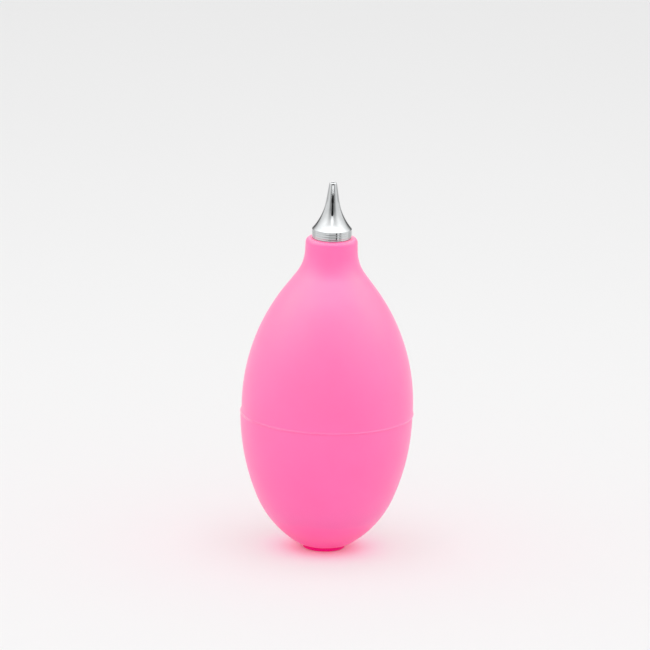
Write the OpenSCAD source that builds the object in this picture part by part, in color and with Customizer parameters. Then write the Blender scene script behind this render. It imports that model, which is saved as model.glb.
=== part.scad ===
// Dust blower bulb: a soft bulb of two moulded cups, bonded at the equator, with a turned metal
// nozzle pushed into its neck and an inlet check valve in its foot.
// Millimetres, +Z up. The origin is the centre of the foot, on the surface that it stands on.

/* [Bulb] */
// Widest diameter of the bulb
bulb_d = 45; // [42:0.5:52]
// Thickness of the silicone wall
wall = 2.2; // [1.8:0.1:2.6]
// Height of the straight band above the seam
band_h = 1.9; // [1.1:0.1:3]
// Length of the neck's straight part, above the blend from the shoulder
neck_l = 3.5; // [3:0.1:8]
// Diameter of the foot that it stands on
foot_d = 11; // [10.4:0.1:11.4]
// Height of the foot
foot_h = 1.05; // [1:0.05:1.5]
// How far the raised bead at the seam stands proud
bead_h = 0.2; // [0.05:0.01:0.3]
// How far the tongue of the lower cup reaches into the upper one
tongue_h = 1; // [0.6:0.1:1]

/* [Nozzle] */
// Diameter of the nozzle's flange
flange_d = 10.4; // [10.2:0.1:12]
// Height of the flange's upright band
flange_h = 2.4; // [1.8:0.1:3.2]
// Length of the straight cone at the tip
tip_l = 4.6; // [3:0.1:5]
// Diameter of the air outlet in the tip
outlet_d = 1.1; // [0.8:0.1:1.2]
// Length of the straight outlet drilling
outlet_l = 3; // [2:0.5:5]
// Diameter of the shank inside the neck
shank_d = 7.1; // [6.4:0.1:7.4]
// Number of grip grooves round the shank
groove_count = 3; // [1:1:4]

/* [Valve] */
// Diameter of the valve's barrel
barrel_d = 7.1; // [7:0.1:7.3]
// Diameter of the valve's flange, in the foot
valve_flange_d = 8.8; // [8.4:0.1:8.8]
// Diameter of the ball
ball_d = 3.8; // [3.6:0.1:3.9]
// How far the ball lifts off its seat
ball_lift = 1.05; // [0.6:0.05:1.2]
// Diameter of each hole in the inlet screen
mesh_hole_d = 0.5; // [0.3:0.05:0.6]

/* [Hidden] */
$fn = 128;
arc_steps = 14;

silicone_pink = [1, 0.45, 0.71];
chrome = [0.8, 0.82, 0.84];
steel = [0.62, 0.64, 0.66];
brass = [0.82, 0.7, 0.42];
white_nylon = [0.93, 0.93, 0.9];

// Radial gap between parts that push or slide together
fit_gap = 0.05;

// The wall's lean is its angle from the axis. The side, the belly and the heel are the arcs below
// the seam; the shoulder, a short cone and the blend into the neck are above it.
bulb_r = bulb_d / 2;
side_radius = 2.6 * bulb_r;
side_lean = 22.8;
belly_radius = 1.19 * bulb_r;
belly_lean = 58;
heel_radius = 0.206 * bulb_r;
heel_lean = 80;
shoulder_radius = 2.34 * bulb_r;
shoulder_lean = 36.8;
cone_l = 0.214 * bulb_r;
blend_radius = 0.5 * bulb_r;
neck_lean = 1.9;
neck_rim = 1.2;
ceiling_slope_h = 1.4;

// What an arc covers across and along the axis as its lean goes from a to b
function arc_in(radius, a, b) = radius * abs(cos(a) - cos(b));
function arc_along(radius, a, b) = radius * abs(sin(a) - sin(b));

// The points of an arc that starts at point p, without p, climbing for up = 1, dropping for up = -1
function arc(p, radius, a, b, up) =
    [for (i = [1:arc_steps]) let(lean = a + (b - a) * i / arc_steps)
        [p[0] - arc_in(radius, a, lean), p[1] + up * arc_along(radius, a, lean)]];
function last(points) = points[len(points) - 1];
function reversed(points) = [for (i = [len(points) - 1:-1:0]) points[i]];

// Heights up the axis
foot_r = foot_d / 2;
seam_z = foot_h + arc_along(side_radius, 0, side_lean)
    + arc_along(belly_radius, side_lean, belly_lean) + arc_along(heel_radius, belly_lean, heel_lean);
blend_z = seam_z + band_h + arc_along(shoulder_radius, 0, shoulder_lean)
    + cone_l * cos(shoulder_lean);
neck_z = blend_z + arc_along(blend_radius, shoulder_lean, neck_lean) + neck_l;

// The bulb's two outlines at a depth below its outer skin, from the seam outwards
function lower_outline(depth) = let(
    start = [bulb_r - depth, seam_z],
    side = arc(start, side_radius - depth, 0, side_lean, -1),
    belly = arc(last(side), belly_radius - depth, side_lean, belly_lean, -1),
    heel = arc(last(belly), heel_radius - depth, belly_lean, heel_lean, -1))
    concat([start], side, belly, heel);
function shoulder_outline(depth) = let(
    band_top = [bulb_r - depth, seam_z + band_h],
    shoulder = arc(band_top, shoulder_radius - depth, 0, shoulder_lean, 1),
    cone_end = last(shoulder) + cone_l * [-sin(shoulder_lean), cos(shoulder_lean)])
    concat([band_top], shoulder, [cone_end]);

// Nozzle
flange_r = flange_d / 2;
flange_seat_gap = 0.02;
lip_round = 0.12;
flare_radius = 15.7;
flare_lean = 40;
tip_lean = 8.8;
tip_rim = 0.12;
shank_r = shank_d / 2;
shank_bottom_z = blend_z + 0.3;
shank_bore_r = shank_r - 1.2;
shank_chamfer = 0.4;
groove_depth = 0.3;
groove_w = 1.1;
band_grooves = 3;
band_groove_depth = 0.03;
band_groove_w = 0.2;
band_groove_pitch = 0.65;
flange_z = neck_z + flange_seat_gap;

// Valve, from the table up
bore_r = barrel_d / 2 + fit_gap;
recess_r = valve_flange_d / 2 + fit_gap;
recess_h = 1;
flange_clear = 0.3;
boss_wall = 2.2;
boss_top = 9;
lip_h = 1.1;
lip_out = 0.5;
valve_top = boss_top + lip_h + 0.3;
screen_seat_z = 1.6;
screen_pocket_r = 2.6;
screen_t = 0.2;
throat_r = 1.2;
seat_z = 3.6;
chamber_r = 2.2;
seat_h = chamber_r - throat_r;
ball_r = ball_d / 2;
// A ball on a 45 degree seat touches it at ball_r / sqrt(2) from the axis, and at rest clears it by a hair
ball_clear = 0.01;
ball_z = seat_z - throat_r + ball_r * sqrt(2) + ball_clear;
cage_gap = 0.1;
cage_z = ball_z + ball_r + ball_lift + cage_gap;
cage_h = 1.5;
cage_r = 2.6;
cage_rim = 0.7;
cage_bar_w = 0.6;
cage_bar_h = 0.9;
ring_rim = 0.65;
ring_clear = 0.15;
mesh_pitch = 0.85;
mesh_rings = 2;

module revolve(points) {
    rotate_extrude() polygon(points);
}

// Upper cup: shoulder and neck, with the bore that holds the nozzle
module bulb_upper() {
    rebate_r = bulb_r - wall / 2 + fit_gap;
    rebate_z = seam_z + tongue_h + fit_gap;
    inside = shoulder_outline(wall);
    outside = shoulder_outline(0);
    blend = arc(last(outside), blend_radius, shoulder_lean, neck_lean, 1);
    rim_z = neck_z - neck_rim;
    rim_r = last(blend)[0] - (rim_z - last(blend)[1]) * tan(neck_lean);
    rim = arc([rim_r, rim_z], neck_rim, 0, 90, 1);
    neck_bore_r = shank_r + fit_gap;
    ceiling = last(inside) + ceiling_slope_h * [-1, 0.4];
    color(silicone_pink) revolve(concat(
        [[rebate_r, seam_z], [bulb_r + bead_h, seam_z], [bulb_r + bead_h, seam_z + bead_h]],
        [[bulb_r, seam_z + 3 * bead_h]],
        outside, blend, [[rim_r, rim_z]], rim,
        [[neck_bore_r, neck_z], [neck_bore_r, ceiling[1]], ceiling],
        reversed(inside),
        [[bulb_r - wall, rebate_z], [rebate_r, rebate_z]]));
}

// Lower cup: belly, foot and the boss that holds the valve, with a tongue round its rim
module bulb_lower() {
    tongue_r = bulb_r - wall / 2;
    inside = lower_outline(wall);
    outside = lower_outline(0);
    color(silicone_pink) difference() {
        union() {
            revolve(concat(
                [[bulb_r - wall, seam_z + tongue_h], [tongue_r, seam_z + tongue_h], [tongue_r, seam_z]],
                outside,
                [[foot_r, foot_h], [foot_r, 0], [0, 0], [0, last(inside)[1]]],
                reversed(inside)));
            translate([0, 0, recess_h]) cylinder(h = boss_top - recess_h, r = bore_r + boss_wall);
        }
        translate([0, 0, -1]) cylinder(h = boss_top + 2, r = bore_r);
        translate([0, 0, -1]) cylinder(h = recess_h + 1, r = recess_r);
    }
}

// Turned nozzle: flared cone on a finely grooved flange band, over a hollow grooved shank
module nozzle() {
    band_top = [flange_r, neck_z + flange_h];
    band_groove_z = [for (i = [1:band_grooves])
        neck_z + flange_h / 2 + (i - (band_grooves + 1) / 2) * band_groove_pitch];
    lip = arc(band_top, lip_round, 0, flare_lean, 1);
    flare = arc(last(lip), flare_radius, flare_lean, tip_lean, 1);
    tip_r = last(flare)[0] - tip_l * tan(tip_lean);
    tip_z = last(flare)[1] + tip_l;
    groove_pitch = (neck_z - shank_bottom_z) / (groove_count + 1);
    color(chrome) difference() {
        revolve(concat(
            [[shank_bore_r, shank_bottom_z], [shank_r - shank_chamfer, shank_bottom_z]],
            [[shank_r, shank_bottom_z + shank_chamfer], [shank_r, flange_z], [flange_r, flange_z]],
            [for (z = band_groove_z, s = [-1, 0, 1])
                [flange_r - (s == 0 ? band_groove_depth : 0), z + s * band_groove_w / 2]],
            [band_top], lip, flare,
            [[tip_r, tip_z - tip_rim], [tip_r - tip_rim, tip_z], [outlet_d / 2, tip_z]],
            [[outlet_d / 2, tip_z - outlet_l], [shank_bore_r, flange_z]]));
        for (i = [1:groove_count])
            translate([0, 0, shank_bottom_z + i * groove_pitch - groove_w / 2])
                difference() {
                    cylinder(h = groove_w, r = shank_r + 1);
                    translate([0, 0, -1]) cylinder(h = groove_w + 2, r = shank_r - groove_depth);
                }
    }
}

// Inlet valve: flange in the foot, screen pocket, throat, 45 degree seat, ball chamber and lip
module valve_body() {
    barrel_r = barrel_d / 2;
    color(brass) revolve([
        [screen_pocket_r, flange_clear], [valve_flange_d / 2, flange_clear],
        [valve_flange_d / 2, recess_h], [barrel_r, recess_h],
        [barrel_r, boss_top + fit_gap], [barrel_r + lip_out, boss_top + fit_gap],
        [barrel_r, boss_top + fit_gap + lip_h], [barrel_r, valve_top],
        [cage_r + fit_gap, valve_top], [cage_r + fit_gap, cage_z],
        [chamber_r, cage_z], [chamber_r, seat_z + seat_h],
        [throat_r, seat_z], [throat_r, screen_seat_z], [screen_pocket_r, screen_seat_z]]);
}

module valve_ball() {
    color(steel) translate([0, 0, ball_z]) sphere(r = ball_r);
}

// Ring with two crossed bars that stop the ball
module valve_cage() {
    color(white_nylon) translate([0, 0, cage_z]) {
        difference() {
            cylinder(h = cage_h, r = cage_r);
            translate([0, 0, -1]) cylinder(h = cage_h + 2, r = cage_r - cage_rim);
        }
        intersection() {
            cylinder(h = cage_bar_h, r = cage_r - cage_rim / 2);
            union() for (turn = [0, 90])
                rotate([0, 0, turn])
                    translate([-cage_r, -cage_bar_w / 2, 0]) cube([2 * cage_r, cage_bar_w, cage_bar_h]);
        }
    }
}

// Perforated disc that keeps dust out of the valve: one hole in the middle, then rings of 6, 12
module inlet_screen() {
    color(steel) translate([0, 0, screen_seat_z - screen_t]) difference() {
        cylinder(h = screen_t, r = screen_pocket_r - fit_gap);
        translate([0, 0, -1]) cylinder(h = screen_t + 2, d = mesh_hole_d);
        for (ring = [1:mesh_rings], i = [0:6 * ring - 1])
            rotate([0, 0, 60 * i / ring])
                translate([ring * mesh_pitch, 0, -1]) cylinder(h = screen_t + 2, d = mesh_hole_d);
    }
}

module screen_ring() {
    ring_r = screen_pocket_r - fit_gap;
    ring_z = flange_clear + ring_clear;
    color(brass) revolve([
        [ring_r - ring_rim, ring_z], [ring_r, ring_z],
        [ring_r, screen_seat_z - screen_t], [ring_r - ring_rim, screen_seat_z - screen_t]]);
}

bulb_upper();
bulb_lower();
nozzle();
valve_body();
valve_ball();
valve_cage();
inlet_screen();
screen_ring();
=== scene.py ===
"""Dust blower bulb: soft pink silicone bulb in two bonded cups, a bright turned nozzle in its neck
and an inlet valve in its foot. Everything is in metres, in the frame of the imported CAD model."""
import math

import bpy
import numpy as np
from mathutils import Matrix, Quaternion, Vector


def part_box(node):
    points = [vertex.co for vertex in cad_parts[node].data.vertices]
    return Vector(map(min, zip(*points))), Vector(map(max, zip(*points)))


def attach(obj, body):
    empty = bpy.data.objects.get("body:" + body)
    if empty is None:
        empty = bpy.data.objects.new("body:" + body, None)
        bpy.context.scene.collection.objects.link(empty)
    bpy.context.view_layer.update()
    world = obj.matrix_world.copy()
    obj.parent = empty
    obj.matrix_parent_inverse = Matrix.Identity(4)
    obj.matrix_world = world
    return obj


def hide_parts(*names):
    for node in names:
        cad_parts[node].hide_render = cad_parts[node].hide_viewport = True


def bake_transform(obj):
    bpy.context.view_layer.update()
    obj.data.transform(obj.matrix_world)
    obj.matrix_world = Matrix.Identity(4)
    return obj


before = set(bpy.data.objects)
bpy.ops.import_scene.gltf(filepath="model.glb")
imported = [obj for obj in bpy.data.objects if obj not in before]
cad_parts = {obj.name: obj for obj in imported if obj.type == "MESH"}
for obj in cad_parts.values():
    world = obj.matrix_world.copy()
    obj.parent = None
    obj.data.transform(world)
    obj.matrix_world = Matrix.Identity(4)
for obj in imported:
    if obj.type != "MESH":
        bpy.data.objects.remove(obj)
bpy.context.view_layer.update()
MM = 0.001

# ---------------------------------------------------------------- sizes, from the CAD nodes' boxes
upper_low, upper_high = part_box("bulb_upper")
lower_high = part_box("bulb_lower")[1]
nozzle_low, nozzle_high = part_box("nozzle")
valve_low, valve_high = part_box("valve_body")
ring_low, ring_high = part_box("screen_ring")
cage_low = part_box("valve_cage")[0]

BULB_R = lower_high.x
SEAM_Z = upper_low.z
NECK_TOP_Z = upper_high.z
BEAD_OUT = upper_high.x - BULB_R
WALL = 2.2 * MM


# ---------------------------------------------------------------- camera
FRAME_WIDTH = 170.6 * MM        # what the picture's width covers at the bulb's axis
CAMERA_DISTANCE = 2.0
CAMERA_ELEVATION = math.radians(15.4)
ROLL = math.radians(1.5)        # the picture leans a little to the right
AIM = Vector((-1.17 * MM, 0, 60.2 * MM))


def make_camera():
    """A long lens a little above the bulb, looking along +Y."""
    data = bpy.data.cameras.new("camera")
    data.lens = data.sensor_width * CAMERA_DISTANCE / FRAME_WIDTH
    data.clip_start, data.clip_end = 0.05, 50
    camera = bpy.data.objects.new("camera", data)
    bpy.context.scene.collection.objects.link(camera)
    bpy.context.scene.camera = camera
    away = Vector((0, -math.cos(CAMERA_ELEVATION), math.sin(CAMERA_ELEVATION)))
    camera.location = Vector((0, 0, SEAM_Z)) + away * CAMERA_DISTANCE
    forward = (AIM - camera.location).normalized()
    camera.rotation_mode = "QUATERNION"
    level = forward.to_track_quat("-Z", "Y")
    camera.rotation_quaternion = level @ Quaternion((0, 0, 1), ROLL)


make_camera()


# ---------------------------------------------------------------- outlines in (radius, height)
FILLET_SHARE = 0.45             # the most of a side that a fillet may take up


def arc(start, radius, lean_a, lean_b, up, longest=0.5 * MM):
    """Points of an arc from start, without start. Lean is the wall's angle from the axis, in degrees."""
    steps = max(3, math.ceil(radius * math.radians(abs(lean_b - lean_a)) / longest))
    a = math.radians(lean_a)
    points = []
    for i in range(1, steps + 1):
        lean = a + math.radians(lean_b - lean_a) * i / steps
        across = radius * abs(math.cos(a) - math.cos(lean))
        along = radius * abs(math.sin(a) - math.sin(lean))
        points.append((start[0] - across, start[1] + up * along))
    return points


def rounded(corners, steps=5):
    """A closed outline from corners (radius, height, fillet), each fillet above 0 made an arc."""
    out = []
    for i, (r, z, fillet) in enumerate(corners):
        here = Vector((r, z))
        if fillet <= 0:
            out.append((r, z))
            continue
        before = Vector(corners[i - 1][:2]) - here
        after = Vector(corners[(i + 1) % len(corners)][:2]) - here
        reach = min(fillet, FILLET_SHARE * before.length, FILLET_SHARE * after.length)
        a, b = here + before.normalized() * reach, here + after.normalized() * reach
        for k in range(steps + 1):
            t = k / steps
            out.append(tuple(a * (1 - t) ** 2 + here * 2 * t * (1 - t) + b * t ** 2))
    return out


def divided(points, longest):
    """The closed outline with its long stretches cut up, so that the mesh can bend."""
    out = []
    for i, p in enumerate(points):
        q = points[(i + 1) % len(points)]
        pieces = max(1, math.ceil(math.dist(p, q) / longest))
        out += [(p[0] + (q[0] - p[0]) * k / pieces, p[1] + (q[1] - p[1]) * k / pieces)
                for k in range(pieces)]
    return out


def sharp(points):
    """Corners without a fillet at the points."""
    return [(r, z, 0) for r, z in points]


# ---------------------------------------------------------------- meshes
def lathe(name, outline, turns=256, crease=40):
    """Turns a closed outline round the axis into a closed smooth mesh."""
    angles = np.arange(turns) * 2 * math.pi / turns
    r, z = np.array(outline).T
    verts = np.stack([np.outer(r, np.cos(angles)), np.outer(r, np.sin(angles)),
                      np.repeat(z[:, None], turns, 1)], -1).reshape(-1, 3)
    row = np.arange(len(outline))
    here, there = row[:, None] * turns, ((row + 1) % len(outline))[:, None] * turns
    this, after = np.arange(turns)[None], ((np.arange(turns) + 1) % turns)[None]
    faces = np.stack([here + this, there + this, there + after, here + after], -1).reshape(-1, 4)
    mesh = bpy.data.meshes.new(name)
    mesh.from_pydata(verts.tolist(), [], faces.tolist())
    if signed_volume(verts, faces) < 0:
        mesh.flip_normals()
    mesh.shade_smooth()
    mesh.set_sharp_from_angle(angle=math.radians(crease))
    piece = bpy.data.objects.new(name, mesh)
    bpy.context.scene.collection.objects.link(piece)
    return piece


def signed_volume(verts, faces):
    """Above 0 where the faces look outwards."""
    a, b, c, d = (verts[faces[:, i]] for i in range(4))
    return float((a * (np.cross(b, c) + np.cross(c, d))).sum())


def reshape(piece, rule):
    """Moves every vertex by rule(points), where points is an array of places in metres."""
    mesh = piece.data
    points = np.empty(len(mesh.vertices) * 3, np.float32)
    mesh.vertices.foreach_get("co", points)
    points = points.reshape(-1, 3).astype(float)
    mesh.vertices.foreach_set("co", rule(points).astype(np.float32).ravel())
    mesh.update()


# ---------------------------------------------------------------- the bulb
# Down from the seam: three arcs, each with the lean from the axis, in degrees, that it ends at.
SIDE_RADIUS, SIDE_LEAN = 2.6 * BULB_R, 22.8
BELLY_RADIUS, BELLY_LEAN = 1.19 * BULB_R, 58
HEEL_RADIUS, HEEL_LEAN = 0.206 * BULB_R, 80
# Up from the seam: an upright band, the shoulder's arc, a short cone, and a blend into the neck.
BAND_HEIGHT = 1.9 * MM
SHOULDER_RADIUS, SHOULDER_LEAN = 2.34 * BULB_R, 36.8
CONE_LENGTH = 0.214 * BULB_R
BLEND_RADIUS, NECK_LEAN = 0.5 * BULB_R, 1.9
FOOT_R, FOOT_HEIGHT = 5.5 * MM, 1.05 * MM
WALL_STEP = 0.6 * MM            # the longest step of the cups' meshes along the wall
FIT_GAP = 0.05 * MM
SEAM_GAP = 0.01 * MM            # the cups are bonded here, so only a hairline shows
TONGUE_HEIGHT = lower_high.z - SEAM_Z
NECK_RIM = 1.2 * MM
NECK_BORE_R = 3.6 * MM
CEILING_IN, CEILING_UP = 1.4 * MM, 0.56 * MM    # from the cone's inner end to the bore's ceiling
BOSS_R, BOSS_TOP_Z = 5.8 * MM, 9 * MM
VALVE_BORE_R = 3.6 * MM
RECESS_R, RECESS_HEIGHT = 4.45 * MM, 1 * MM
MOULD_SHIFT = 0.2 * MM          # the lower mould half sits this far to the left at the seam
MOULD_GROWTH = 0.0035           # and is wider by this share, fully so from GROWTH_FULL_Z up
GROWTH_START_Z, GROWTH_FULL_Z = 5 * MM, 10 * MM
WHOLE_WALL_SHARE = 0.95         # its wall moves as a whole up to this share of its height


def lower_wall(depth):
    """The lower cup's wall at a depth below its skin, from the seam down to the heel."""
    start = (BULB_R - depth, SEAM_Z)
    side = arc(start, SIDE_RADIUS - depth, 0, SIDE_LEAN, -1)
    belly = arc(side[-1], BELLY_RADIUS - depth, SIDE_LEAN, BELLY_LEAN, -1)
    heel = arc(belly[-1], HEEL_RADIUS - depth, BELLY_LEAN, HEEL_LEAN, -1)
    return side + belly + heel


def shoulder_wall(depth):
    """The upper cup's wall at a depth below its skin, from the straight band up to the cone's end."""
    band_top = (BULB_R - depth, SEAM_Z + BAND_HEIGHT)
    shoulder = arc(band_top, SHOULDER_RADIUS - depth, 0, SHOULDER_LEAN, 1)
    lean = math.radians(SHOULDER_LEAN)
    r, z = shoulder[-1]
    cone_end = (r - CONE_LENGTH * math.sin(lean), z + CONE_LENGTH * math.cos(lean))
    return [band_top] + shoulder + [cone_end]


def upper_cup():
    """Shoulder and neck, with the nozzle's bore, a rebate for the tongue and half the seam's bead."""
    outside, inside = shoulder_wall(0), shoulder_wall(WALL)
    blend = arc(outside[-1], BLEND_RADIUS, SHOULDER_LEAN, NECK_LEAN, 1)
    rim_z = NECK_TOP_Z - NECK_RIM
    rim_start = (blend[-1][0] - (rim_z - blend[-1][1]) * math.tan(math.radians(NECK_LEAN)), rim_z)
    rim = arc(rim_start, NECK_RIM, 0, 90, 1, 0.1 * MM)
    rebate_r = BULB_R - WALL / 2 + FIT_GAP
    rebate_z = SEAM_Z + TONGUE_HEIGHT + FIT_GAP
    ceiling = (inside[-1][0] - CEILING_IN, inside[-1][1] + CEILING_UP)
    corners = [
        (rebate_r, SEAM_Z, 0.05 * MM),
        (BULB_R + BEAD_OUT, SEAM_Z, 0.05 * MM),
        (BULB_R + 0.85 * BEAD_OUT, SEAM_Z + 0.7 * BEAD_OUT, 0.08 * MM),
        (BULB_R, SEAM_Z + 2.2 * BEAD_OUT, 0.2 * MM),
        *sharp(outside), *sharp(blend), (*rim_start, 0), *sharp(rim),
        (NECK_BORE_R, NECK_TOP_Z, 0.25 * MM),
        (NECK_BORE_R, ceiling[1], 0.3 * MM),
        (*ceiling, 0.3 * MM),
        *sharp(inside[::-1]),
        (BULB_R - WALL, rebate_z, 0.1 * MM),
        (rebate_r, rebate_z, 0.1 * MM),
    ]
    return lathe("upper_cup", divided(rounded(corners), WALL_STEP))


def mould_mismatch(points):
    """The lower mould half as it stands at the seam: to the left of the upper one and a little wider.
    Close to the seam only the outside moves, and the tongue stays, because it sits in the rebate."""
    height = points[:, 2]
    share = np.clip((height - FOOT_HEIGHT) / (SEAM_Z - FOOT_HEIGHT), 0, 1)
    outer = np.clip((np.hypot(points[:, 0], points[:, 1]) - BULB_R + WALL) / WALL, 0, 1)
    moved = np.where(height > SEAM_Z, 0, np.maximum(outer, share < WHOLE_WALL_SHARE))
    points[:, 0] -= MOULD_SHIFT * share * moved
    grown = np.clip((height - GROWTH_START_Z) / (GROWTH_FULL_Z - GROWTH_START_Z), 0, 1) * moved
    points[:, :2] *= (1 + MOULD_GROWTH * grown)[:, None]
    return points


def lower_cup():
    """Belly and foot, with the valve's boss inside and a tongue round the rim."""
    outside, inside = lower_wall(0), lower_wall(WALL)
    tongue_r, tongue_z = BULB_R - WALL / 2, SEAM_Z + TONGUE_HEIGHT
    floor = [p for p in inside if p[0] > BOSS_R + 0.2 * MM]
    corners = [
        (BULB_R - WALL, tongue_z, 0.15 * MM),
        (tongue_r, tongue_z, 0.15 * MM),
        (tongue_r, SEAM_Z - SEAM_GAP, 0.05 * MM),
        (BULB_R + 0.5 * BEAD_OUT, SEAM_Z - SEAM_GAP, 0.05 * MM),
        (BULB_R, SEAM_Z - 1.6 * BEAD_OUT, 0.2 * MM),
        *sharp([p for p in outside if p[1] < SEAM_Z - 2 * BEAD_OUT]),
        (FOOT_R, FOOT_HEIGHT, 0.12 * MM),
        (FOOT_R, 0, 0.18 * MM),
        (RECESS_R, 0, 0.12 * MM),
        (RECESS_R, RECESS_HEIGHT, 0.1 * MM),
        (VALVE_BORE_R, RECESS_HEIGHT, 0.1 * MM),
        (VALVE_BORE_R, BOSS_TOP_Z, 0.2 * MM),
        (BOSS_R, BOSS_TOP_Z, 0.5 * MM),
        (BOSS_R, floor[-1][1], 0.6 * MM),
        *sharp(floor[::-1]),
    ]
    piece = lathe("lower_cup", divided(rounded(corners), WALL_STEP))
    reshape(piece, mould_mismatch)
    return piece


# ---------------------------------------------------------------- the nozzle
FLANGE_R = nozzle_high.x
FLANGE_Z = NECK_TOP_Z + 0.02 * MM
FLANGE_HEIGHT = 2.4 * MM
LIP_RADIUS = 0.12 * MM
FLARE_RADIUS, FLARE_LEAN, TIP_LEAN = 15.7 * MM, 40, 8.8
SHANK_R, SHANK_CHAMFER = 3.55 * MM, 0.35 * MM
SHANK_BORE_R = SHANK_R - 1.2 * MM
OUTLET_R, OUTLET_LENGTH = 0.55 * MM, 3 * MM
OUTLET_EDGE_OUT, OUTLET_EDGE_DOWN = 0.06 * MM, 0.1 * MM
GROOVES, GROOVE_WIDTH, GROOVE_DEPTH = 3, 1.1 * MM, 0.3 * MM
BAND_GROOVES, BAND_GROOVE_PITCH = 3, 0.65 * MM
BAND_GROOVE_WIDTH, BAND_GROOVE_DEPTH = 0.2 * MM, 0.03 * MM


def turned_nozzle():
    """Flared cone on an upright band with fine turned grooves, over a grooved hollow shank."""
    band_top = (FLANGE_R, NECK_TOP_Z + FLANGE_HEIGHT)
    lip = arc(band_top, LIP_RADIUS, 0, FLARE_LEAN, 1, 0.05 * MM)
    flare = arc(lip[-1], FLARE_RADIUS, FLARE_LEAN, TIP_LEAN, 1, 0.15 * MM)
    tip_z = nozzle_high.z
    tip_r = flare[-1][0] - (tip_z - flare[-1][1]) * math.tan(math.radians(TIP_LEAN))
    bottom_z = nozzle_low.z
    corners = [(SHANK_BORE_R, bottom_z, 0.1 * MM), (SHANK_R - SHANK_CHAMFER, bottom_z, 0.1 * MM),
               (SHANK_R, bottom_z + SHANK_CHAMFER, 0.1 * MM)]
    pitch = (NECK_TOP_Z - bottom_z) / (GROOVES + 1)
    for i in range(1, GROOVES + 1):
        low, high = (bottom_z + i * pitch + side * GROOVE_WIDTH / 2 for side in (-1, 1))
        floor_r = SHANK_R - GROOVE_DEPTH
        corners += [(SHANK_R, low, 0.08 * MM), (floor_r, low, 0.08 * MM),
                    (floor_r, high, 0.08 * MM), (SHANK_R, high, 0.08 * MM)]
    corners += [(SHANK_R, FLANGE_Z, 0.1 * MM), (FLANGE_R, FLANGE_Z, 0.08 * MM)]
    for i in range(BAND_GROOVES):
        groove_z = NECK_TOP_Z + FLANGE_HEIGHT / 2 + (i - (BAND_GROOVES - 1) / 2) * BAND_GROOVE_PITCH
        corners += [(FLANGE_R, groove_z - BAND_GROOVE_WIDTH / 2, 0.02 * MM),
                    (FLANGE_R - BAND_GROOVE_DEPTH, groove_z, 0.02 * MM),
                    (FLANGE_R, groove_z + BAND_GROOVE_WIDTH / 2, 0.02 * MM)]
    corners += [
        (*band_top, 0), *sharp(lip), *sharp(flare),
        (tip_r, tip_z, 0.2 * MM),
        (OUTLET_R + OUTLET_EDGE_OUT, tip_z, 0.05 * MM),
        (OUTLET_R, tip_z - OUTLET_EDGE_DOWN, 0.05 * MM),
        (OUTLET_R, tip_z - OUTLET_LENGTH, 0),
        (SHANK_BORE_R, FLANGE_Z, 0),
    ]
    return lathe("nozzle_turned", divided(rounded(corners, 6), 0.5 * MM), crease=25)


# ---------------------------------------------------------------- the inlet valve's turned pieces
BARREL_R = 3.55 * MM
CAGE_POCKET_R, CAGE_Z = 2.65 * MM, cage_low.z
CHAMBER_R, THROAT_R, SEAT_Z = 2.2 * MM, 1.2 * MM, 3.6 * MM
POCKET_R, POCKET_TOP_Z = 2.6 * MM, 1.6 * MM
LIP_OUT, LIP_HEIGHT = 0.5 * MM, 1.1 * MM
CHAMFER = 0.15 * MM
RING_WIDTH, RING_CHAMFER = 0.65 * MM, 0.08 * MM


def valve_bush():
    """The valve's bush: a pocket for the screen, the ball's seat and chamber, and one for the cage."""
    lip_z = BOSS_TOP_Z + FIT_GAP
    flange_r = valve_high.x
    corners = [
        (POCKET_R + CHAMFER, valve_low.z, 0.05 * MM),
        (flange_r - CHAMFER, valve_low.z, 0.08 * MM), (flange_r, valve_low.z + CHAMFER, 0.08 * MM),
        (flange_r, RECESS_HEIGHT, 0.05 * MM), (BARREL_R, RECESS_HEIGHT, 0.05 * MM),
        (BARREL_R, lip_z, 0.05 * MM), (BARREL_R + LIP_OUT, lip_z, 0.1 * MM),
        (BARREL_R, lip_z + LIP_HEIGHT, 0.1 * MM), (BARREL_R, valve_high.z, 0.15 * MM),
        (CAGE_POCKET_R, valve_high.z, 0.1 * MM), (CAGE_POCKET_R, CAGE_Z, 0.05 * MM),
        (CHAMBER_R, CAGE_Z, 0.05 * MM), (CHAMBER_R, SEAT_Z + CHAMBER_R - THROAT_R, 0.1 * MM),
        (THROAT_R, SEAT_Z, 0.05 * MM), (THROAT_R, POCKET_TOP_Z, 0.05 * MM),
        (POCKET_R, POCKET_TOP_Z, 0.05 * MM), (POCKET_R, valve_low.z + CHAMFER, 0.05 * MM),
    ]
    return lathe("valve_bush", divided(rounded(corners, 4), 0.6 * MM), turns=160)


def snap_ring():
    """The ring under the screen, with a wide chamfer at its opening."""
    outer, inner = ring_high.x, ring_high.x - RING_WIDTH
    corners = [
        (inner + CHAMFER, ring_low.z, 0.05 * MM), (outer - RING_CHAMFER, ring_low.z, 0.05 * MM),
        (outer, ring_low.z + RING_CHAMFER, 0.05 * MM), (outer, ring_high.z, 0.05 * MM),
        (inner, ring_high.z, 0.05 * MM), (inner, ring_low.z + CHAMFER, 0.05 * MM),
    ]
    return lathe("screen_snap_ring", divided(rounded(corners, 4), 0.4 * MM), turns=128)


# ---------------------------------------------------------------- materials
PINK, PINK_LIGHTER, GRAIN_PINK = (1.0, 0.09, 0.385), (1.0, 0.098, 0.4), (1.0, 0.17, 0.5)
# painted shade: deeper pinks low on the heel, at the foot by the floor and at the neck's rim
HEEL_SHADE_PINK, FOOT_SHADE_PINK, RIM_SHADE_PINK = (1.0, 0.0, 0.42), (0.85, 0.0, 0.24), (1.0, 0.04, 0.34)
# the flash's own pink, and a paler pink for its painted highlight towards the sides
FLASH_PINK, FLASH_SIDE_HIGHLIGHT_PINK = (1.0, 0.085, 0.38), (1.0, 0.25, 0.5)
BLACK, WHITE = (0, 0, 0, 1), (1, 1, 1, 1)


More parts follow.
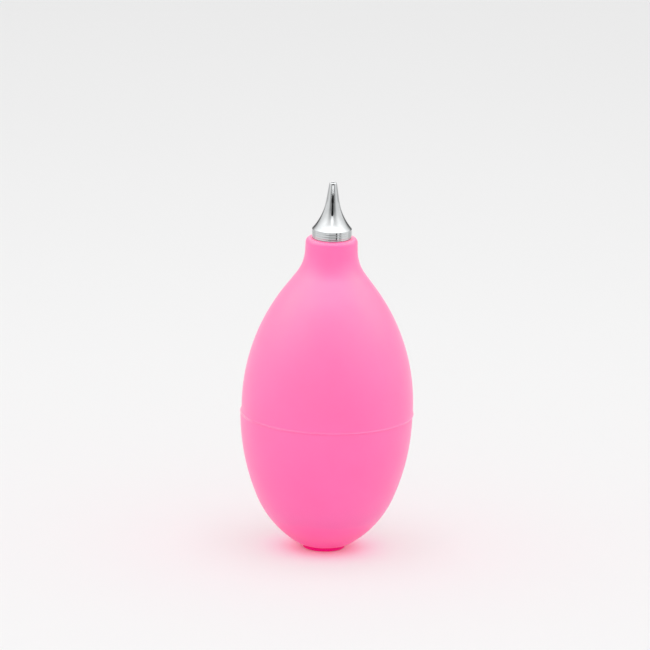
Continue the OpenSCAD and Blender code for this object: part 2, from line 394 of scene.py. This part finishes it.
class Material:
    """A node material with one principled shader, and short names for what is wired to it."""

    def __init__(self, name, **sockets):
        self.material = bpy.data.materials.new(name)
        self.material.use_nodes = True
        self.tree = self.material.node_tree
        self.tree.nodes.clear()
        output = self.tree.nodes.new("ShaderNodeOutputMaterial")
        self.shader = self.tree.nodes.new("ShaderNodeBsdfPrincipled")
        self.link(self.shader.outputs["BSDF"], output.inputs["Surface"])
        for socket, value in sockets.items():
            self.shader.inputs[socket.replace("_", " ")].default_value = value
        self.place = self.tree.nodes.new("ShaderNodeTexCoord").outputs["Object"]

    def link(self, source, target):
        self.tree.links.new(source, target)

    def stretched(self, x, y, z):
        """The place on the object, stretched along each axis."""
        node = self.tree.nodes.new("ShaderNodeMapping")
        node.inputs["Scale"].default_value = (x, y, z)
        self.link(self.place, node.inputs["Vector"])
        return node.outputs["Vector"]

    def along(self, axis):
        """The place on the object along one axis."""
        node = self.tree.nodes.new("ShaderNodeSeparateXYZ")
        self.link(self.place, node.inputs["Vector"])
        return node.outputs[axis]

    def size_of(self, value):
        """The value without its sign."""
        node = self.tree.nodes.new("ShaderNodeMath")
        node.operation = "ABSOLUTE"
        self.link(value, node.inputs[0])
        return node.outputs["Value"]

    def noise(self, size, detail, roughness=0.5, place=None):
        """Noise whose features are about size metres across."""
        node = self.tree.nodes.new("ShaderNodeTexNoise")
        node.inputs["Scale"].default_value = 1 / size
        node.inputs["Detail"].default_value = detail
        node.inputs["Roughness"].default_value = roughness
        self.link(place or self.place, node.inputs["Vector"])
        return node.outputs["Fac"]

    def between(self, factor, low, high, start=0.35, end=0.65):
        """A value that goes from low to high as factor goes from start to end."""
        node = self.tree.nodes.new("ShaderNodeMapRange")
        for socket, value in zip(("From Min", "From Max", "To Min", "To Max"), (start, end, low, high)):
            node.inputs[socket].default_value = value
        self.link(factor, node.inputs["Value"])
        return node.outputs["Result"]

    def mixed(self, factor, a, b):
        """A colour between a and b, each a colour or another node's output."""
        node = self.tree.nodes.new("ShaderNodeMix")
        node.data_type = "RGBA"
        self.link(factor, node.inputs["Factor"])
        for socket, value in (("A", a), ("B", b)):
            target = next(s for s in node.inputs if s.name == socket and s.type == "RGBA")
            if isinstance(value, tuple):
                target.default_value = (*value, 1)
            else:
                self.link(value, target)
        return next(s for s in node.outputs if s.type == "RGBA")

    def facing(self, place, direction, inner, outer):
        """1 where place lies within inner degrees of a direction, 0 beyond outer, smooth between."""
        unit = self.tree.nodes.new("ShaderNodeVectorMath")
        unit.operation = "NORMALIZE"
        self.link(place, unit.inputs[0])
        dot = self.tree.nodes.new("ShaderNodeVectorMath")
        dot.operation = "DOT_PRODUCT"
        self.link(unit.outputs["Vector"], dot.inputs[0])
        dot.inputs[1].default_value = direction.normalized()
        ramp = self.tree.nodes.new("ShaderNodeMapRange")
        ramp.interpolation_type = "SMOOTHSTEP"
        ramp.inputs["From Min"].default_value = math.cos(math.radians(outer))
        ramp.inputs["From Max"].default_value = math.cos(math.radians(inner))
        self.link(dot.outputs["Value"], ramp.inputs["Value"])
        return ramp.outputs["Result"]

    def sum_of(self, base, terms):
        """The base plus the sum of weight * factor over terms, each a (weight, factor) pair."""
        total = None
        for weight, factor in terms:
            node = self.tree.nodes.new("ShaderNodeMath")
            node.operation = "MULTIPLY_ADD"
            node.inputs[1].default_value = weight
            self.link(factor, node.inputs[0])
            if total is None:
                node.inputs[2].default_value = base
            else:
                self.link(total, node.inputs[2])
            total = node.outputs["Value"]
        return total

    def bump(self, height, depth, strength, under=None):
        """A bumped normal, on top of the one under it where that is given."""
        node = self.tree.nodes.new("ShaderNodeBump")
        node.inputs["Strength"].default_value = strength
        node.inputs["Distance"].default_value = depth
        self.link(height, node.inputs["Height"])
        if under is not None:
            self.link(under, node.inputs["Normal"])
        return node.outputs["Normal"]

    def drive(self, **sources):
        """Wires the sources to the shader's sockets of those names, and gives the finished material."""
        for socket, source in sources.items():
            self.link(source, self.shader.inputs[socket.replace("_", " ")])
        return self.material


def silicone(name, gloss=1.0, sheen=0.3, flash=False):
    """Matt silicone with a dusty sheen: slow colour drift, fine mould grain and slightly glossier rubbed
    patches. Painted shade deepens the colour low on the heel, at the foot and at the neck's rim. The
    flash along the seam gets a painted highlight: paler towards its two sides."""
    m = Material(name, IOR=1.5, Specular_IOR_Level=gloss, Sheen_Weight=sheen, Sheen_Roughness=0.5,
                 Subsurface_Weight=0.1, Subsurface_Scale=0.6 * MM, Subsurface_Radius=(1.0, 0.3, 0.45))
    drift = m.noise(16 * MM, 2)
    grain = m.noise(0.22 * MM, 4, 0.6)
    colour = m.mixed(m.between(drift, 0, 1), PINK, PINK_LIGHTER)
    colour = m.mixed(m.between(grain, 0, 0.06), colour, GRAIN_PINK)
    height = m.along("Z")
    # painted shade: the colour deepens low on the heel, at the foot by the floor and at the neck's rim
    heel = m.between(height, 1, 0, 1.4 * MM, 4.4 * MM)
    foot_shade = m.between(height, 1, 0, 0.9 * MM, 1.6 * MM)
    rim = m.between(height, 0, 1, NECK_TOP_Z - 1.3 * MM, NECK_TOP_Z - 0.3 * MM)
    for share, shade_pink in ((heel, HEEL_SHADE_PINK), (foot_shade, FOOT_SHADE_PINK), (rim, RIM_SHADE_PINK)):
        colour = m.mixed(share, colour, shade_pink)
    if flash:
        # painted highlight: the flash pales towards its left and right sides
        side = m.between(m.size_of(m.along("X")), 0, 1, 0.85 * BULB_R, 0.97 * BULB_R)
        colour = m.mixed(side, FLASH_PINK, FLASH_SIDE_HIGHLIGHT_PINK)
    normal = m.bump(m.noise(3.5 * MM, 2), 0.012 * MM, 0.6)
    normal = m.bump(grain, 0.006 * MM, 0.7, normal)
    rough = m.between(m.noise(9 * MM, 3), 0.47, 0.55)
    return m.drive(Base_Color=colour, Roughness=rough, Normal=normal)


def chrome():
    """Bright plate over turned metal: faint turning rings, hairline polish marks and a slow ripple."""
    m = Material("chrome", Metallic=1.0)
    rings = m.noise(0.5 * MM, 3, 0.6, m.stretched(0.04, 0.04, 6))
    hairs = m.noise(0.35 * MM, 4, 0.65, m.stretched(3.5, 3.5, 0.25))
    haze = m.noise(2.5 * MM, 3)
    colour = m.mixed(m.between(haze, 0, 1), (0.47, 0.485, 0.49), (0.52, 0.53, 0.535))
    rough = m.between(m.noise(0.9 * MM, 4), 0.05, 0.11)
    normal = m.bump(haze, 0.01 * MM, 0.35)
    normal = m.bump(rings, 0.0012 * MM, 0.6, normal)
    normal = m.bump(hairs, 0.0006 * MM, 0.4, normal)
    return m.drive(Base_Color=colour, Roughness=rough, Normal=normal)


def turned_brass():
    """Brass with turning rings and patches of tarnish."""
    m = Material("turned_brass", Metallic=1.0)
    rings = m.noise(0.4 * MM, 3, 0.6, m.stretched(0.05, 0.05, 5))
    tarnish = m.noise(1.6 * MM, 4)
    colour = m.mixed(m.between(tarnish, 0, 1), (0.70, 0.53, 0.27), (0.82, 0.66, 0.38))
    rough = m.between(tarnish, 0.2, 0.34)
    return m.drive(Base_Color=colour, Roughness=rough, Normal=m.bump(rings, 0.002 * MM, 0.7))


def steel(name, low_rough, high_rough, grain_size):
    """Steel with a grain in its colour, roughness and surface."""
    m = Material(name, Metallic=1.0)
    grain = m.noise(grain_size, 4, 0.6)
    colour = m.mixed(m.between(grain, 0, 1), (0.50, 0.51, 0.53), (0.64, 0.65, 0.66))
    rough = m.between(grain, low_rough, high_rough)
    return m.drive(Base_Color=colour, Roughness=rough, Normal=m.bump(grain, 0.001 * MM, 0.5))


def nylon():
    """Off-white moulded nylon with a fine grain."""
    m = Material("nylon", IOR=1.53, Subsurface_Weight=0.2, Subsurface_Scale=0.8 * MM)
    grain = m.noise(0.12 * MM, 4)
    colour = m.mixed(m.between(m.noise(1.5 * MM, 2), 0, 1), (0.78, 0.77, 0.71), (0.84, 0.83, 0.78))
    rough = m.between(grain, 0.38, 0.5)
    return m.drive(Base_Color=colour, Roughness=rough, Normal=m.bump(grain, 0.003 * MM, 0.6))


def floor_white():
    """Matt near-white with a faint slow drift."""
    m = Material("floor_white", Roughness=0.9, Specular_IOR_Level=0.0)
    colour = m.mixed(m.between(m.noise(0.3, 2), 0, 1), (0.86, 0.86, 0.86), (0.865, 0.865, 0.865))
    return m.drive(Base_Color=colour)


def glowing(name, colour, strength=1.0):
    """A black surface that gives off its own light, for the studio's boards and walls."""
    return Material(name, Roughness=0.8, Specular_IOR_Level=0.0, Base_Color=BLACK,
                    Emission_Color=colour, Emission_Strength=strength)


def dress(piece, material):
    """Gives the piece one material."""
    piece.data.materials.clear()
    piece.data.materials.append(material)


# ---------------------------------------------------------------- assembly
SILICONE = silicone("silicone")
# the flash's copy of the silicone, with its painted highlight
FLASH_HIGHLIGHT_SILICONE = silicone("silicone_flash_highlight", flash=True)
# a copy with little gloss and sheen: painted shade on the foot where it meets the floor
SHADED_FOOT_SILICONE = silicone("silicone_foot_shaded", gloss=0.15, sheen=0.1)
CHROME = chrome()
BRASS = turned_brass()
FLASH_REACH = 0.3 * MM          # how far the flash's material goes up, down and inwards


def place_cup(piece, node):
    """Gives a cup of the bulb the silicone, bakes its place into its mesh and hides its CAD node."""
    dress(piece, SILICONE)
    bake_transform(piece)
    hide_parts(node)


def dress_part(piece, material, belongs):
    """Gives another material to the faces whose centre (radius, height) belongs to a part."""
    piece.data.materials.append(material)
    for face in piece.data.polygons:
        if belongs(math.hypot(*face.center[:2]), face.center.z):
            face.material_index = len(piece.data.materials) - 1


def on_flash(radius, height):
    """The seam's bead and the thin flash under it."""
    return radius > BULB_R - FLASH_REACH and abs(height - SEAM_Z) < FLASH_REACH


# the foot, which gets the silicone's shaded copy
def on_shaded_foot(radius, height):
    return height < FOOT_HEIGHT


def place_rigid(piece, node, body, material):
    """A hard piece rides on one body."""
    dress(piece, material)
    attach(piece, body)
    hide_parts(node)


upper, lower = upper_cup(), lower_cup()
for cup, node in ((upper, "bulb_upper"), (lower, "bulb_lower")):
    place_cup(cup, node)
    dress_part(cup, FLASH_HIGHLIGHT_SILICONE, on_flash)
# painted shade: the foot gets the silicone's shaded copy
dress_part(lower, SHADED_FOOT_SILICONE, on_shaded_foot)
place_rigid(turned_nozzle(), "nozzle", "nozzle", CHROME)
place_rigid(valve_bush(), "valve_body", "base", BRASS)
place_rigid(snap_ring(), "screen_ring", "base", BRASS)
for node, material in (("valve_ball", steel("ball_steel", 0.06, 0.12, 0.4 * MM)),
                       ("valve_cage", nylon()),
                       ("inlet_screen", steel("screen_steel", 0.22, 0.36, 0.12 * MM))):
    dress(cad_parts[node], material)


# ---------------------------------------------------------------- studio
FLOOR_RADIUS = 30
FLOOR_DROP = 0.02 * MM          # the floor lies this far below the foot, so that the two don't meet
TENT_CENTRE, TENT_RADIUS = Vector((0, 0, 0.09)), 3.0
TENT_GLOW = 0.41                # how bright the tent's wall is away from its patches
TENT_PATCHES = (                # brightness added, azimuth, elevation, full within, none beyond
    (1.24, 0, 90, 20, 75),      # the softboxes overhead
    (2.32, 0, 90, 5, 45),
    (0.84, -90, 15, 20, 60),    # the two sides
    (0.84, 90, 15, 20, 60),
    (1.64, 180, 45, 15, 50),    # behind the bulb, high and then low
    (-0.38, 180, 5, 25, 60),
    (0.86, 0, 40, 5, 14),       # the camera's side, high and then level
    (1.3, 0, 0, 4, 16),
)
SHOULDER_TINT = (1, 1, 0.25)    # the highlight adds little blue, so that the silicone stays pink
SHOULDER_LIGHT_DISTANCE = 0.8
SHOULDER_LIGHTS = (             # name, azimuth, elevation, width, depth, power
    ("above", 0, 85, 0.9, 0.9, 6.0),
    ("behind", 180, 50, 1.4, 0.5, 4.2),
    ("front_left", -55, 45, 0.5, 0.5, 1.0),
    ("front_right", 55, 45, 0.5, 0.5, 1.0),
    ("left", -100, 35, 0.5, 0.5, 1.5),
    ("right", 100, 35, 0.5, 0.5, 1.5),
)
GLOSS_CARDS = (                 # name, azimuth, half width, low, high, distance, brightness
    ("camera_side", 0, 14, 5, 36, 2.6, 0.02),
    ("camera_low", 0, 24, -5, 10.1, 0.05, 0.02),
    ("bright_strip", 0, 26, 3.0, 4.9, 2.55, 1.75),
    ("stand_leg", 27, 3.5, -16, -8, 0.28, 0.05),
    ("stand_leg_far", 48, 3, -16, -8, 0.28, 0.35),
    ("low_wall_left", -63, 47, -16, -8, 0.3, 1.25),
    ("low_wall_gap", 39, 5, -16, -8, 0.3, 1.25),
    ("low_wall_right", 85, 25, -16, -8, 0.3, 1.25),
)
GLOW_THICKNESS = 0.01 * MM
POOL_LOW_Z, POOL_HIGH_Z = 0.01 * MM, 0.03 * MM
LIGHT_BOUNCES = 24              # the red light bounces often between the belly and the floor


def toward(azimuth, elevation):
    """Unit vector away from the bulb. Azimuth 0 is the camera's side and 90 the right-hand side."""
    a, e = math.radians(azimuth), math.radians(elevation)
    return Vector((math.sin(a) * math.cos(e), -math.cos(a) * math.cos(e), math.sin(e)))


def make_floor():
    """A plain round floor, wide enough to reach past the picture."""
    bpy.ops.mesh.primitive_circle_add(vertices=96, radius=FLOOR_RADIUS, fill_type="NGON",
                                      location=(0, 0, -FLOOR_DROP))
    floor = bpy.context.object
    floor.name = "floor"
    dress(floor, floor_white())


def make_world(zenith, horizon):
    """The even light of a white tent, brighter at the sides than overhead."""
    world = bpy.data.worlds.new("studio")
    bpy.context.scene.world = world
    world.use_nodes = True
    tree = world.node_tree
    tree.nodes.clear()
    output = tree.nodes.new("ShaderNodeOutputWorld")
    light = tree.nodes.new("ShaderNodeBackground")
    light.inputs["Color"].default_value = WHITE
    split = tree.nodes.new("ShaderNodeSeparateXYZ")
    ramp = tree.nodes.new("ShaderNodeMapRange")
    ramp.inputs["To Min"].default_value = horizon
    ramp.inputs["To Max"].default_value = zenith
    sky = tree.nodes.new("ShaderNodeTexCoord").outputs["Generated"]
    tree.links.new(sky, split.inputs["Vector"])
    tree.links.new(split.outputs["Z"], ramp.inputs["Value"])
    tree.links.new(ramp.outputs["Result"], light.inputs["Strength"])
    tree.links.new(light.outputs["Background"], output.inputs["Surface"])


def shine_only_on(light, name, pieces):
    """Makes a light, or a glowing piece, shine on the named pieces and on nothing else."""
    lit = bpy.data.collections.new(name)
    for piece in pieces:
        lit.objects.link(bpy.data.objects[piece])
    light.light_linking.receiver_collection = lit


def soft_light(name, away, distance, width, depth, power):
    """A soft rectangular light that shines on the bulb from the direction away."""
    data = bpy.data.lights.new(name, "AREA")
    data.shape, data.size, data.size_y, data.energy = "RECTANGLE", width, depth, power
    light = bpy.data.objects.new(name, data)
    bpy.context.scene.collection.objects.link(light)
    light.location = TENT_CENTRE + away * distance
    light.rotation_mode = "QUATERNION"
    light.rotation_quaternion = (-away).to_track_quat("-Z", "Y")
    light.visible_camera = False
    return light


def overhead_light(elevation, distance, size, power):
    """The light over the bulb. The floor fades a little towards the back, away from it."""
    light = soft_light("overhead", toward(0, elevation), distance, size, size, power)
    light.visible_glossy = False


def shoulder_light(name, away, distance, width, depth, power):
    """Gives the silicone the broad soft highlight on its shoulder, and nothing else any light."""
    light = soft_light(name, away, distance, width, depth, power)
    light.data.color = SHOULDER_TINT
    light.visible_diffuse = light.visible_transmission = False
    shine_only_on(light, name, ["upper_cup", "lower_cup"])


def seen_by_gloss_only(piece):
    """Makes a piece of the studio show in reflections and nowhere else."""
    piece.visible_camera = piece.visible_shadow = piece.visible_diffuse = False
    piece.visible_transmission = piece.visible_volume_scatter = False


def reflection_tent():
    """The tent's wall as the glossy surfaces see it, with bright and dim patches."""
    bpy.ops.mesh.primitive_uv_sphere_add(segments=64, ring_count=32, radius=TENT_RADIUS,
                                         location=TENT_CENTRE)
    tent = bpy.context.object
    tent.name = "reflection_tent"
    m = glowing("tent_wall", WHITE)
    patches = [(weight, m.facing(m.place, toward(azimuth, elevation), full, none))
               for weight, azimuth, elevation, full, none in TENT_PATCHES]
    dress(tent, m.drive(Emission_Strength=m.sum_of(TENT_GLOW, patches)))
    seen_by_gloss_only(tent)


def wall_glow(name, gap, low, high, colour, only_on=()):
    """The light that the soft wall between two heights sheds round the foot, as a clear glowing skin
    that only diffuse surfaces see."""
    skin = [(r + gap, z - gap) for r, z in lower_wall(0) if low < z < high]
    back = [(r - GLOW_THICKNESS, z) for r, z in skin[::-1]]
    glow = lathe(name, skin + back, turns=96)
    material = bpy.data.materials.new(name)
    material.use_nodes = True
    tree = material.node_tree
    tree.nodes.clear()
    output = tree.nodes.new("ShaderNodeOutputMaterial")
    both = tree.nodes.new("ShaderNodeAddShader")
    clear = tree.nodes.new("ShaderNodeBsdfTransparent")
    light = tree.nodes.new("ShaderNodeEmission")
    light.inputs["Color"].default_value = (*colour, 1)
    tree.links.new(clear.outputs["BSDF"], both.inputs[0])
    tree.links.new(light.outputs["Emission"], both.inputs[1])
    tree.links.new(both.outputs["Shader"], output.inputs["Surface"])
    dress(glow, material)
    glow.visible_camera = glow.visible_glossy = glow.visible_shadow = False
    glow.visible_transmission = glow.visible_volume_scatter = False
    if only_on:
        shine_only_on(glow, name, only_on)


def red_pool(inner, outer, colour):
    """A dark red ring only gloss sees: painted reflection of the shaded red floor round the foot."""
    outline = [(inner, POOL_LOW_Z), (outer, POOL_LOW_Z), (outer, POOL_HIGH_Z), (inner, POOL_HIGH_Z)]
    pool = lathe("red_pool", outline, turns=96)
    dress(pool, glowing("red_pool", (*colour, 1)).material)
    seen_by_gloss_only(pool)


def gloss_card(name, azimuth, half_width, low, high, distance, brightness):
    """An upright board that only gloss sees, dark like the camera's side or bright like the tent. Its
    width, bottom and top are in degrees, as seen from the tent's centre."""
    corners = []
    for side, elevation in ((-1, low), (1, low), (1, high), (-1, high)):
        level = toward(azimuth + side * half_width, 0) * distance
        height = TENT_CENTRE.z + distance * math.tan(math.radians(elevation))
        corners.append((level.x, level.y, height))
    mesh = bpy.data.meshes.new(name)
    mesh.from_pydata(corners, [], [(0, 1, 2, 3)])
    card = bpy.data.objects.new(name, mesh)
    bpy.context.scene.collection.objects.link(card)
    dress(card, glowing(name, WHITE, brightness).material)
    seen_by_gloss_only(card)


make_floor()
make_world(zenith=0.59, horizon=1.5)
overhead_light(elevation=86, distance=0.66, size=0.5, power=1.27)
for name, azimuth, elevation, width, depth, power in SHOULDER_LIGHTS:
    shoulder_light(name, toward(azimuth, elevation), SHOULDER_LIGHT_DISTANCE, width, depth, power)
reflection_tent()
# The gaps differ, because two glowing skins in one place hide each other.
wall_glow("heel_glow", 0.2 * MM, 0, 9 * MM, (0.1, 0, 0.02))
wall_glow("belly_glow_low", 0.3 * MM, 3.5 * MM, 8 * MM, (0.1, 0.17, 0.19), ["floor"])
wall_glow("belly_glow_high", 0.4 * MM, 7.5 * MM, 16 * MM, (0, 0.2, 0.1), ["floor"])
# painted reflection of shaded floor for the foot's gloss
red_pool(FOOT_R + 0.1 * MM, 3 * FOOT_R, (0.5, 0.01, 0.1))
for card in GLOSS_CARDS:
    gloss_card(*card)
bpy.context.scene.view_settings.view_transform = "Standard"
bpy.context.scene.cycles.max_bounces = LIGHT_BOUNCES
bpy.context.scene.cycles.diffuse_bounces = LIGHT_BOUNCES
